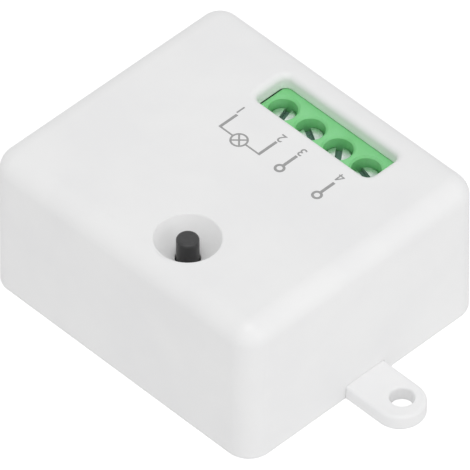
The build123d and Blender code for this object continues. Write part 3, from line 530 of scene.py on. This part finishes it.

# Screws: plated steel, faced on a lathe, with fine rings round the head's middle and a duller slot painted
# darker and greener, as painted shade and a painted reflection of the green block
POLES = range(1, 5)
FACING_PITCH = 0.16 * MM
SLOT_LOW, SLOT_HIGH = 0.9 * MM, 0.2 * MM
for number in POLES:
    head_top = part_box(f"terminal_screw_{number}")[1][2]
    paint = Paint(f"plated_screw_{number}", metallic=1.0)
    from_centre = paint.from_axis(middle(*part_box(f"clamp_cage_{number}")))
    rings = paint.wave(from_centre, FACING_PITCH)
    patches = paint.noise(0.7 * MM, 4.0)
    # Painted shade and painted reflection of the green block: a darker, greener colour low in the slot
    face_share = paint.span(paint.z, head_top - SLOT_LOW, head_top - SLOT_HIGH)
    bright = paint.mottle((232, 238, 235), (204, 214, 210), 0.9 * MM, detail=5.0)
    paint.colour(paint.mix(face_share, linear((118, 148, 138)), bright))
    paint.metal_where(paint.span(face_share, 0.0, 1.0, 0.35, 1.0))
    paint.roughness(0.24, 0.36, 0.6 * MM)
    paint.bump((rings, 0.9 * MICRON), (patches, 6 * MICRON), (paint.noise(0.12 * MM), 1.6 * MICRON))
    dress(f"terminal_screw_{number}", paint)

for number in POLES:
    drawn = 0.28, 0.42, 0.9 * MM, 2 * MICRON, (1, 0.25, 1)
    dress(f"clamp_cage_{number}", metal(f"cage_steel_{number}", (196, 199, 202), (168, 172, 176), *drawn))
dress("terminal_contacts", metal("tinned_copper", (214, 213, 206), (190, 186, 174), 0.25, 0.38))

# Button: black plastic, lighter in patches near its round top
TOP_LIGHTER_DEPTH = 0.4 * MM
stem_paint = Paint("black_button_plastic")
stem_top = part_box("button_stem")[1][2]
near_top = stem_paint.span(stem_paint.z, stem_top - TOP_LIGHTER_DEPTH, stem_top)
top_lighter_patches = stem_paint.math("MULTIPLY", near_top, stem_paint.noise(0.6 * MM, 4.0))
stem_paint.colour(stem_paint.mix(top_lighter_patches, linear((39, 39, 40)), linear((60, 60, 61))))
stem_paint.roughness(0.32, 0.46, 0.7 * MM)
stem_paint.bump(
    (stem_paint.noise(0.09 * MM, 2.0), 1.2 * MICRON),
    (stem_paint.noise(0.8 * MM, 2.0), 3 * MICRON),
)
dress("button_stem", stem_paint)
stem = dressed_stem()
finish_shading(stem, stem_paint)
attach(stem, "button")
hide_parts("button_stem")

# Switch. Its dome is a smooth-shaded copy of the CAD one, carried with the housing.
dress(
    "switch_base",
    plastic("switch_black", (38, 38, 40), (30, 30, 32), 0.4, 0.55, 0.1 * MM, MICRON, 2 * MM),
)
plate_marks = 0.6 * MM, MICRON, (1, 0.2, 1)
dress(
    "switch_plate",
    metal("switch_plate_steel", (205, 206, 208), (182, 184, 188), 0.3, 0.4, *plate_marks),
)
dome_paint = metal("dome_steel", (210, 208, 202), (190, 188, 182), 0.2, 0.3, 0.5 * MM)
dress("switch_dome", dome_paint)
dome = node_copy("giving_dome", "switch_dome")
finish_shading(dome, dome_paint)
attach(dome, "housing")
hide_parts("switch_dome")
low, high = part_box("switch_dome")
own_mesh(dome)
dress("switch_leads", metal("switch_leads_tin", (206, 206, 208), (184, 184, 186), 0.3, 0.42))

# The board: green resist in areas that narrow lighter lines part, and pale glass at its edge
EDGE_DEPTH = 0.02 * MM
board_paint = Paint("green_circuit_board", ior=1.52, coat=0.3)
areas = board_paint.span(board_paint.cell_edges(3.1 * MM), 0.035, 0.05)
resist = board_paint.mix(areas, linear((34, 104, 60)), linear((24, 82, 48)))
low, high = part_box("circuit_board")
inside = board_paint.both(
    board_paint.between(board_paint.x, low[0] + EDGE_DEPTH, high[0] - EDGE_DEPTH),
    board_paint.between(board_paint.y, low[1] + EDGE_DEPTH, high[1] - EDGE_DEPTH),
)
glass = board_paint.mottle((176, 178, 132), (150, 152, 104), 0.5 * MM)
board_paint.colour(board_paint.mix(inside, glass, resist))
board_paint.roughness(0.25, 0.4, 2 * MM)
board_paint.bump((areas, 15 * MICRON), (board_paint.noise(0.3 * MM), 1.5 * MICRON))
dress("circuit_board", board_paint)
dress("solder_joints", metal("solder", (200, 200, 204), (168, 168, 174), 0.18, 0.34, 0.5 * MM, 3 * MICRON))

# Relay
for node, name, first, second, low, high, grain, depth in (
    ("relay_case", "relay_blue_case", (40, 92, 168), (36, 84, 156), 0.3, 0.42, 0.12, 1.0),
    ("relay_base", "relay_black_base", (34, 34, 36), (28, 28, 30), 0.45, 0.6, 0.1, 1.2),
    ("relay_bobbin", "bobbin_nylon", (214, 206, 186), (202, 192, 170), 0.45, 0.6, 0.1, 1.2),
):
    dress(node, plastic(name, first, second, low, high, grain * MM, depth * MICRON))
for node in ("relay_yoke", "relay_core", "relay_armature"):
    iron = (176, 176, 176), (150, 150, 152), 0.32, 0.45, 0.8 * MM, 2 * MICRON
    dress(node, metal(node + "_iron", *iron))
for node in ("relay_moving_contact", "relay_open_contact", "relay_closed_contact"):
    dress(node, metal(node + "_alloy", (208, 150, 104), (190, 130, 88), 0.26, 0.38))
dress("relay_pins", metal("relay_pins_tin", (206, 206, 206), (186, 186, 188), 0.3, 0.42))


def winding(node, first, second, pitch):
    """Enamelled wire in even turns up the coil, painted darker in the grooves between turns as painted
    shade.
    """
    paint = Paint(node + "_enamel", metallic=1.0)
    turns = paint.math("ABSOLUTE", paint.wave(paint.z, 2 * pitch))
    # Painted shade: the second, darker colour fills the grooves between turns
    paint.colour(paint.mix(turns, linear(second), linear(first)))
    paint.roughness(0.25, 0.35, 0.6 * MM)
    paint.bump((turns, pitch / 3), (paint.noise(0.4 * MM, 2.0), 4 * MICRON))
    dress(node, paint)


winding("relay_winding", (196, 98, 52), (120, 52, 26), 0.12 * MM)
winding("inductor_winding", (204, 108, 58), (128, 56, 28), 0.35 * MM)

# The other parts on the board, with tinned leads
LEAD_TIN = (204, 204, 206)


def tin_leads(paint, is_body, body, tin=LEAD_TIN):
    """The paint shows body where is_body is 1, and bare tin on the leads."""
    paint.colour(paint.mix(is_body, linear(tin), body))
    paint.metal_where(paint.math("SUBTRACT", 1.0, is_body))


def leaded(node, paint, lead_top=BOARD_TOP):
    """A part whose body has its own look above lead_top, with tinned leads below."""
    is_body = paint.math("GREATER_THAN", paint.z, lead_top)
    tin_leads(paint, is_body, paint.shader.inputs["Base Color"].links[0].from_socket)
    dress(node, paint)


STRIPE_HALF = 1.2 * MM
CAN_TOP_DEPTH = 0.05 * MM
CAN_SEAT = 0.1 * MM
for node, sleeve in (
    ("input_capacitor_1", (30, 34, 52)),
    ("input_capacitor_2", (30, 34, 52)),
    ("output_capacitor", (36, 36, 38)),
):
    low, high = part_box(node)
    centre_x, centre_y = middle(low, high)
    paint = Paint(node + "_sleeve")
    left_side = paint.math("LESS_THAN", paint.x, centre_x)
    stripe = paint.both(left_side, paint.between(paint.y, centre_y - STRIPE_HALF, centre_y + STRIPE_HALF))
    side = paint.mix(stripe, linear(sleeve), linear((168, 170, 172)))
    is_top = paint.math("GREATER_THAN", paint.z, high[2] - CAN_TOP_DEPTH)
    paint.colour(paint.mix(is_top, side, linear((196, 198, 200))))
    paint.roughness(0.25, 0.4, 2 * MM)
    paint.bump((paint.noise(0.7 * MM), 6 * MICRON))
    leaded(node, paint, BOARD_TOP + CAN_SEAT)

LACQUER_FOOT = 0.7 * MM
leaded(
    "inductor_core",
    plastic("ferrite", (62, 60, 60), (50, 48, 48), 0.5, 0.7, 0.16 * MM, 4 * MICRON),
)
leaded(
    "varistor",
    plastic("varistor_lacquer", (52, 96, 168), (46, 86, 156), 0.22, 0.36, 0.6 * MM, 8 * MICRON),
    BOARD_TOP + LACQUER_FOOT,
)
leaded("crystal", metal("crystal_can", (210, 210, 210), (190, 190, 192), 0.2, 0.32))
wire_marks = 0.6 * MM, 2 * MICRON, (0.1, 1, 1)
dress("antenna_wire", metal("antenna_copper", (206, 128, 84), (184, 104, 64), 0.24, 0.36, *wire_marks))

# Fuse resistor: green lacquered body with dark bands
BODY_HALF = 3.8 * MM
BAND_PITCH, BAND_START, BAND_END = 1.6 * MM, 0.2 * MM, 0.7 * MM
fuse_paint = Paint("fuse_lacquer")
fuse_middle = middle(*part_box("fuse_resistor"))[0]
bands = fuse_paint.between(fuse_paint.math("WRAP", fuse_paint.x, BAND_PITCH, 0.0), BAND_START, BAND_END)
banded = fuse_paint.mix(bands, linear((96, 130, 92)), linear((40, 40, 42)))
on_body = fuse_paint.math(
    "LESS_THAN",
    fuse_paint.math("ABSOLUTE", fuse_paint.math("SUBTRACT", fuse_paint.x, fuse_middle)),
    BODY_HALF,
)
tin_leads(fuse_paint, on_body, banded)
fuse_paint.roughness(0.28, 0.42, MM)
fuse_paint.bump((fuse_paint.noise(0.4 * MM), 6 * MICRON))
dress("fuse_resistor", fuse_paint)

# Chips
LEAD_REACH = 1 * MM
CHIP_TIN = (206, 206, 208)
CHIP_BLACK, CHIP_GREY = (34, 34, 36), (42, 42, 44)


def chip(node, axis=1):
    """Black moulding between bright leads that stand out on both sides along the axis."""
    low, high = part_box(node)
    paint = Paint(node + "_epoxy")
    is_body = paint.between((paint.x, paint.y)[axis], low[axis] + LEAD_REACH, high[axis] - LEAD_REACH)
    tin_leads(paint, is_body, paint.mottle(CHIP_BLACK, CHIP_GREY, 1.2 * MM), CHIP_TIN)
    paint.roughness(0.4, 0.6, 0.8 * MM)
    paint.bump((paint.noise(0.08 * MM, 2.0), 2 * MICRON))
    dress(node, paint)


for node in ("bridge_rectifier", "power_converter", "voltage_regulator", "radio_receiver", "relay_driver"):
    chip(node)
chip("microcontroller", axis=0)
for node, name, first, second, low, high, grain, size in (
    ("flyback_diode", "diode_epoxy", (36, 36, 38), (44, 44, 46), 0.4, 0.55, 0.08, 1.0),
    ("chip_resistors", "resistor_glaze", (32, 32, 34), (52, 52, 54), 0.25, 0.4, 0.1, 0.9),
    ("chip_capacitors", "capacitor_ceramic", (186, 158, 118), (168, 140, 100), 0.35, 0.5, 0.1, 0.9),
):
    dress(node, plastic(name, first, second, low, high, grain * MM, 2 * MICRON, size * MM))

# Grey print on the case: plain numbers for the four terminals, and the usual wiring signs. The ink
# stands a little above the case and reaches a little into it.
INK_RISE, INK_SINK, INK_STEP = 0.01 * MM, 0.02 * MM, 0.001 * MM
# In millimetres. Places and widths are read from the photograph, and the numbers stand where it has
# letters.
LAMP_X, LAMP_Y, LAMP_RADIUS, LAMP_LINE, LAMP_INSET = -2.75, 3.56, 1.12, 0.27, 0.1
LEGS = (-6.24, 6.63), (0.86, 6.76)
LEG_LINE, WIRE_LINE = 0.42, 0.25
ENDS, END_Y, END_RADIUS, END_LINE = (4.53, 11.34), 3.69, 0.58, 0.36
END_STEM_TOP, END_STEM_LINE = 6.81, 0.45
NUMBERS = (-6.53, 7.64), (0.86, 7.74), (4.51, 7.82), (11.23, 7.94)
NUMBER_SIZE, NUMBER_BOLD = 2.0, 0.02
# The 4 is drawn with strokes: the font's own fills in when it is this bold
FOUR = ((0.22, -0.7), (0.22, 0.7)), ((-0.5, -0.35), (0.5, -0.35)), ((-0.42, -0.35), (0.2, 0.66))
FOUR_LINE = 0.2

ink_paint = Paint("grey_print")
ink_paint.colour(ink_paint.mottle((158, 158, 158), (164, 164, 164), 0.6 * MM))
ink_paint.roughness(0.42, 0.55, 0.8 * MM)
ink_paint.bump((ink_paint.noise(0.1 * MM), 1.2 * MICRON))


def stroke(mesh, start, end, width, layer):
    """A straight stroke, square at its ends. Strokes that cross have layers of their own."""
    a, b = Vector(start), Vector(end)
    along = (b - a).normalized()
    side = Vector((-along.y, along.x)) * width / 2
    outline = a - side, b - side, b + side, a + side
    rows = []
    for z in (CASE_TOP - INK_SINK, CASE_TOP + INK_RISE - INK_STEP * layer):
        rows.append([mesh.verts.new((x * MM, y * MM, z)) for x, y in outline])
    bottom, top = rows
    mesh.faces.new(top)
    mesh.faces.new(bottom[::-1])
    for i in range(len(outline)):
        j = (i + 1) % len(outline)
        mesh.faces.new((bottom[i], bottom[j], top[j], top[i]))


def ring(mesh, centre, radius, width, steps=72):
    """A closed ring, radius to the middle of its stroke."""
    inner, outer = radius - width / 2, radius + width / 2
    high, low = (CASE_TOP + INK_RISE) / MM, (CASE_TOP - INK_SINK) / MM
    rows = []
    for reach, z in ((inner, high), (outer, high), (outer, low), (inner, low)):
        rows.append([mesh.verts.new(Vector(point) * MM) for point in circle(centre, reach, z, steps)])
    for row, after in zip(rows, rows[1:] + rows[:1]):
        for i in range(steps):
            j = (i + 1) % steps
            mesh.faces.new((row[i], row[j], after[j], after[i]))


def print_piece(piece):
    piece.data.materials.clear()
    piece.data.materials.append(ink_paint.material)
    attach(piece, "housing")


def print_strokes(name, mesh):
    bmesh.ops.recalc_face_normals(mesh, faces=mesh.faces)
    print_piece(as_object(name, mesh))


signs = bmesh.new()
for x, top in LEGS:
    stroke(signs, (x, top), (x, LAMP_Y - WIRE_LINE / 2), LEG_LINE, 1)
for side, (x, top) in zip((-1, 1), LEGS):
    stroke(signs, (x, LAMP_Y), (LAMP_X + side * LAMP_RADIUS, LAMP_Y), WIRE_LINE, 2)
ring(signs, (LAMP_X, LAMP_Y), LAMP_RADIUS, LAMP_LINE)
arm = (LAMP_RADIUS - LAMP_INSET) * math.sqrt(0.5)
for turn, layer in ((-1, 1), (1, 3)):
    start, end = (LAMP_X - arm, LAMP_Y - turn * arm), (LAMP_X + arm, LAMP_Y + turn * arm)
    stroke(signs, start, end, WIRE_LINE, layer)
for x in ENDS:
    ring(signs, (x, END_Y), END_RADIUS, END_LINE)
    stroke(signs, (x, END_STEM_TOP), (x, END_Y + END_RADIUS), END_STEM_LINE, 1)
print_strokes("wiring_signs", signs)

x, y = NUMBERS[3]
four = bmesh.new()
for layer, (start, end) in enumerate(FOUR, start=1):
    stroke(four, (x - start[0], y - start[1]), (x - end[0], y - end[1]), FOUR_LINE, layer)
print_strokes("number_4", four)

for number, (x, y) in enumerate(NUMBERS[:3], start=1):
    text = bpy.data.curves.new(f"number_{number}_outline", "FONT")
    text.body = str(number)
    text.size = NUMBER_SIZE * MM
    text.align_x = "CENTER"
    text.align_y = "CENTER"
    text.extrude = (INK_RISE + INK_SINK) / 2
    text.offset = NUMBER_BOLD * MM
    letter = bpy.data.objects.new(f"number_{number}", text)
    bpy.context.scene.collection.objects.link(letter)
    letter.location = (x * MM, y * MM, CASE_TOP + (INK_RISE - INK_SINK) / 2)
    letter.rotation_euler = (0, 0, math.pi)
    bpy.context.view_layer.update()
    solid = final_mesh(letter)
    solid.transform(letter.matrix_world)
    bpy.data.objects.remove(letter)
    piece = bpy.data.objects.new(f"number_{number}", solid)
    bpy.context.scene.collection.objects.link(piece)
    print_piece(piece)

# Floor: pale and dull, lit up a little for the camera so that it renders white round the shadow
FLOOR_HALF = 3.0
FLOOR_PALE = 0.92
FLOOR_LIFT = 0.32
floor_mesh = bmesh.new()
bmesh.ops.create_grid(floor_mesh, x_segments=1, y_segments=1, size=FLOOR_HALF)
floor = as_object("studio_floor", floor_mesh)
floor_paint = bpy.data.materials.new("pale_floor")
floor_paint.use_nodes = True
nodes, links = floor_paint.node_tree.nodes, floor_paint.node_tree.links
nodes["Principled BSDF"].inputs["Base Color"].default_value = (FLOOR_PALE, FLOOR_PALE, FLOOR_PALE, 1)
nodes["Principled BSDF"].inputs["Roughness"].default_value = 0.9
nodes["Principled BSDF"].inputs["Specular IOR Level"].default_value = 0.0
path = nodes.new("ShaderNodeLightPath")
glow = nodes.new("ShaderNodeEmission")
lift = nodes.new("ShaderNodeMath")
lift.operation = "MULTIPLY"
lift.inputs[1].default_value = FLOOR_LIFT
links.new(path.outputs["Is Camera Ray"], lift.inputs[0])
links.new(lift.outputs[0], glow.inputs["Strength"])
pale_and_lit = nodes.new("ShaderNodeAddShader")
links.new(nodes["Principled BSDF"].outputs[0], pale_and_lit.inputs[0])
links.new(glow.outputs[0], pale_and_lit.inputs[1])
links.new(pale_and_lit.outputs[0], nodes["Material Output"].inputs["Surface"])
floor.data.materials.append(floor_paint)

# World: white to the camera and in reflections, and dimmer as a light
SKY_LIGHT = 0.664
world = bpy.data.worlds.new("studio")
bpy.context.scene.world = world
world.use_nodes = True
nodes, links = world.node_tree.nodes, world.node_tree.links
path = nodes.new("ShaderNodeLightPath")
seen = path.outputs["Is Camera Ray"]
for ray in ("Is Glossy Ray", "Is Transmission Ray"):
    larger = nodes.new("ShaderNodeMath")
    larger.operation = "MAXIMUM"
    links.new(seen, larger.inputs[0])
    links.new(path.outputs[ray], larger.inputs[1])
    seen = larger.outputs[0]
strength = nodes.new("ShaderNodeMapRange")
strength.inputs["To Min"].default_value = SKY_LIGHT
strength.inputs["To Max"].default_value = 1.0
links.new(seen, strength.inputs["Value"])
links.new(strength.outputs[0], nodes["Background"].inputs["Strength"])
nodes["Background"].inputs["Color"].default_value = (1, 1, 1, 1)

LAMP_AIM = Vector((0, 0, 12 * MM))


def lamp_at(name, place, size, power):
    """A square lamp that points at the case's middle height. Metres and watts."""
    data = bpy.data.lights.new(name, "AREA")
    data.shape = "SQUARE"
    data.size = size
    data.energy = power
    lamp = bpy.data.objects.new(name, data)
    lamp.location = place
    lamp.rotation_euler = (LAMP_AIM - Vector(place)).to_track_quat("-Z", "Y").to_euler()
    bpy.context.scene.collection.objects.link(lamp)


lamp_at("side_softbox", (0.85, 0.05, 0.3), size=0.5, power=0.79)
lamp_at("front_softbox", (0.6, -0.6, 2.1), size=1.0, power=11.05)

# Camera, fitted to the photograph: degrees, metres, and millimetres for the lens and the sensor
AZIMUTH, ELEVATION, DISTANCE = 45.57, 45.19, 1.545
LENS, SENSOR = 919.8, 36
CLIP_START, CLIP_END = 0.05, 20
CAMERA_AIM = Vector((1.70, -1.54, 12.29)) * MM
azimuth, elevation = math.radians(AZIMUTH), math.radians(ELEVATION)
level = math.cos(elevation)
back = Vector((math.sin(azimuth) * level, -math.cos(azimuth) * level, math.sin(elevation)))
camera_data = bpy.data.cameras.new("camera")
camera_data.lens = LENS
camera_data.sensor_width = SENSOR
camera_data.clip_start = CLIP_START
camera_data.clip_end = CLIP_END
camera = bpy.data.objects.new("camera", camera_data)
camera.location = CAMERA_AIM + back * DISTANCE
camera.rotation_euler = (-back).to_track_quat("-Z", "Y").to_euler()
bpy.context.scene.collection.objects.link(camera)
bpy.context.scene.camera = camera
bpy.context.scene.view_settings.view_transform = "Standard"
